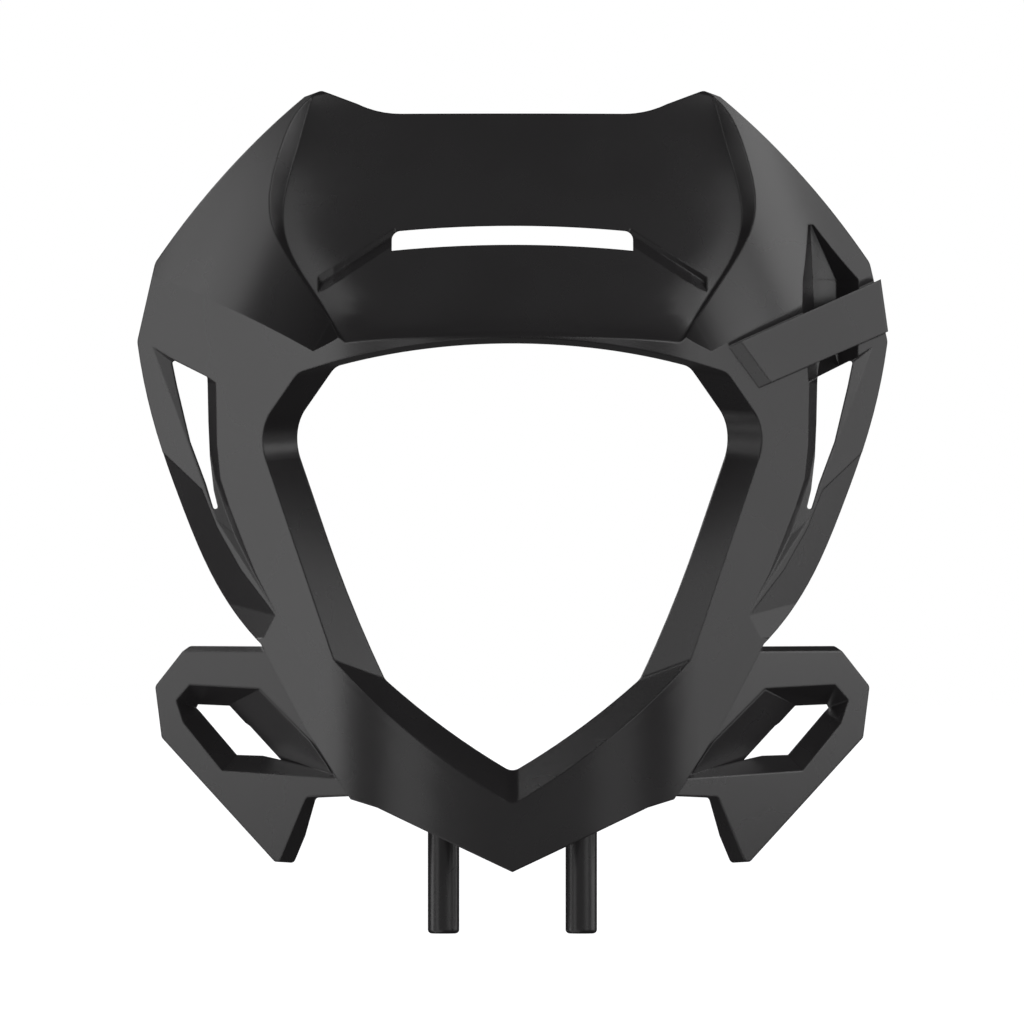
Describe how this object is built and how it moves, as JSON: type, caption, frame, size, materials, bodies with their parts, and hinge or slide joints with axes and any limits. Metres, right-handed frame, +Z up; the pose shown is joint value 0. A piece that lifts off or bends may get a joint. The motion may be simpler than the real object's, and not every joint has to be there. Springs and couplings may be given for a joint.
{
  "type": "headlight cowl",
  "caption": "Moulded motorbike headlight cowl: faceted mask with a lamp opening, slotted visor, side windows, fork guards, a hose guide and locating pins below the chin.",
  "frame": {"origin": "midway between the axes of the two locating pins, at the level where they leave the chin in the front view", "axes": "the front faces -Y, +X is to the right when facing the front, +Z is up; the pins point along -Z"},
  "size_m": [0.2644, 0.0994, 0.2953],
  "materials": {
    "cowl_plastic": "satin black injection moulding with fine grain"
  },
  "bodies": {
    "root": {"headlight_cowl": "cowl_plastic"}
  },
  "joints": []
}
